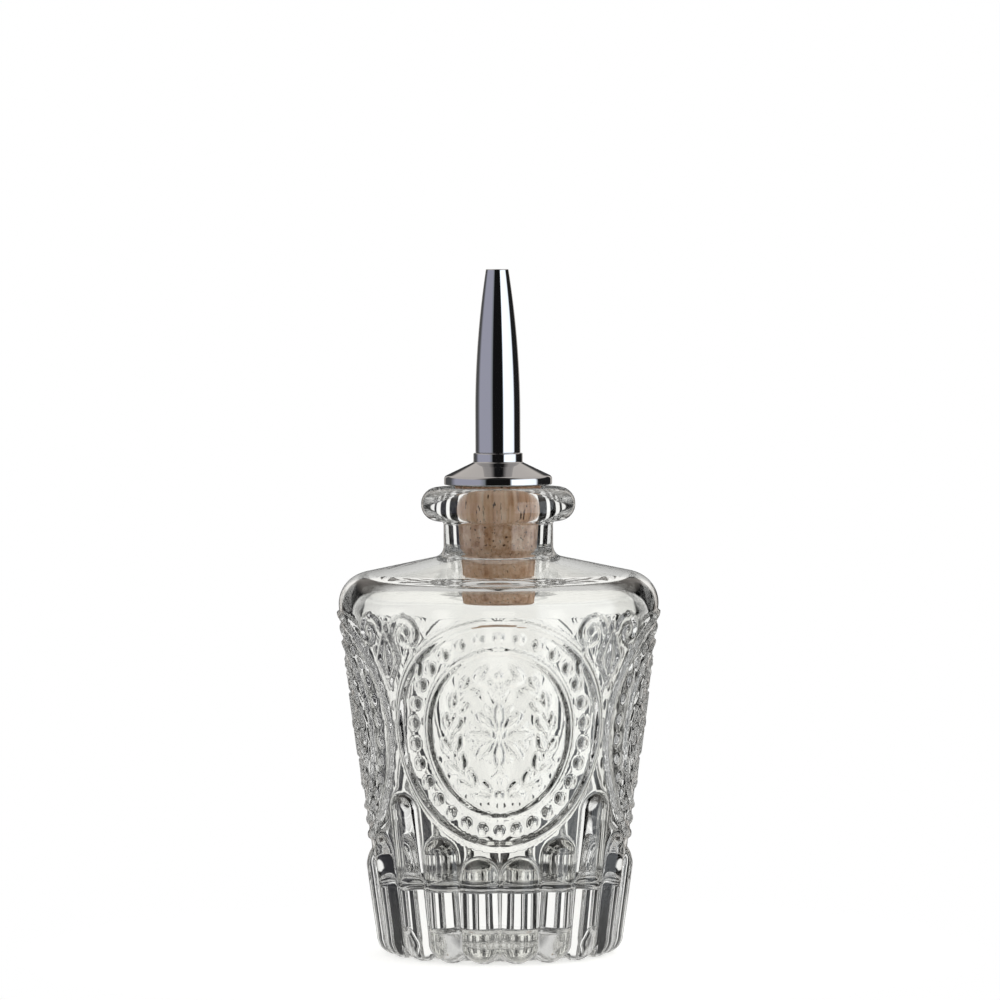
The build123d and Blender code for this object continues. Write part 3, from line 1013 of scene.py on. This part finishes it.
soft_side = ramp(
    tree,
    around,
    [(0.0, grey(1.0)), (at(-70), grey(0.8)), (at(0), grey(0.45)), (at(70), grey(1.25)), (1.0, grey(1.0))],
    "EASE",
)
ever_soft = node(tree, "ShaderNodeMath", {0: ray["Diffuse Depth"], 1: 0.5}, operation="GREATER_THAN")
steps = (
    (ray["Is Glossy Ray"], mirrored),
    (ray["Is Transmission Ray"], through),
    (ever_soft, soft_side),
    (ray["Is Camera Ray"], grey(1.0)),
)
seen = soft_side
for factor, shown in steps:
    seen = node(tree, "ShaderNodeMix", {0: factor, 6: seen, 7: shown}, data_type="RGBA").node.outputs[2]
background = node(tree, "ShaderNodeBackground", {"Color": seen, "Strength": 1.0})
node(tree, "ShaderNodeOutputWorld", {"Surface": background})

# %% [markdown]
# ## Floor
#
# A pale paper sweep that fades into the white behind. Through the glass only a dark patch of painted shade
# shows near the foot: a painted shadow under the bottle, which draws the lines of the base. It is a stage
# piece, and no part of the object.

# %% Floor
floor_outline = np.array([(0.0, 0.0), (60.0, 0.0), (200.0, 0.0), (600.0, 0.0)])
fade_start, paper_end, shade_patch_end = 0.03, 0.11, 0.06  # metres from the axis
points, fours, threes = skin(turned(floor_outline, small_columns), False)
mesh = bpy.data.meshes.new("pale_floor")
mesh.from_pydata((points * MILLIMETRE).tolist(), [], fours.tolist() + threes.tolist())
floor = bpy.data.objects.new("pale_floor", mesh)
bpy.context.scene.collection.objects.link(floor)
material, tree, place = new_material("white_paper_sweep")
distance = node(tree, "ShaderNodeVectorMath", {0: place}, operation="LENGTH").node.outputs["Value"]
near = node(
    tree,
    "ShaderNodeMapRange",
    {"Value": distance, "From Min": fade_start, "From Max": paper_end, "To Min": 1.0, "To Max": 0.0},
    interpolation_type="SMOOTHSTEP",
)
paper = node(
    tree,
    "ShaderNodeBsdfPrincipled",
    {
        "Base Color": colour("#e4e4e2"),
        "Roughness": 0.9,
        "Emission Color": colour("#fbfbfa"),
        "Emission Strength": 0.58,
    },
)
# Painted shade: a near-black patch of floor, seen only through the glass, stands in for the shadow under the
# bottle.
painted_shade = node(tree, "ShaderNodeBsdfDiffuse", {"Color": grey(0.015)})
through_glass = node(tree, "ShaderNodeLightPath").node.outputs["Is Transmission Ray"]
clear = node(tree, "ShaderNodeBsdfTransparent")
fading = node(tree, "ShaderNodeMixShader", {0: near, 1: clear, 2: paper})
shade_patch_mask = node(
    tree,
    "ShaderNodeMapRange",
    {"Value": distance, "From Min": fade_start, "From Max": shade_patch_end, "To Min": 1.0, "To Max": 0.0},
)
painted_shade_patch = node(tree, "ShaderNodeMixShader", {0: shade_patch_mask, 1: clear, 2: painted_shade})
shader = node(tree, "ShaderNodeMixShader", {0: through_glass, 1: fading, 2: painted_shade_patch})
finish_with(material, tree, shader, floor)

# %% [markdown]
# ## Camera
#
# A long lens a little over a metre away, just above the bottle, looks slightly down on its shoulder.

# %% Camera
camera_data = bpy.data.cameras.new("camera")
camera_data.lens, camera_data.sensor_width = 207, 36
camera = bpy.data.objects.new("camera", camera_data)
bpy.context.scene.collection.objects.link(camera)
to_the_right, away, camera_height, aim_height = 0.0004, 1.260, 0.150, 0.0994  # metres
roll = radians(0.25)
camera.location = (to_the_right, -away, camera_height)
aim = Vector((to_the_right, 0, aim_height))
camera.rotation_mode = "QUATERNION"
camera.rotation_quaternion = (aim - camera.location).to_track_quat("-Z", "Y") @ Quaternion((0, 0, 1), -roll)
bpy.context.scene.camera = camera
bpy.context.scene.view_settings.view_transform = "Standard"
light_paths = bpy.context.scene.cycles
light_paths.max_bounces, light_paths.transmission_bounces, light_paths.glossy_bounces = 32, 32, 24
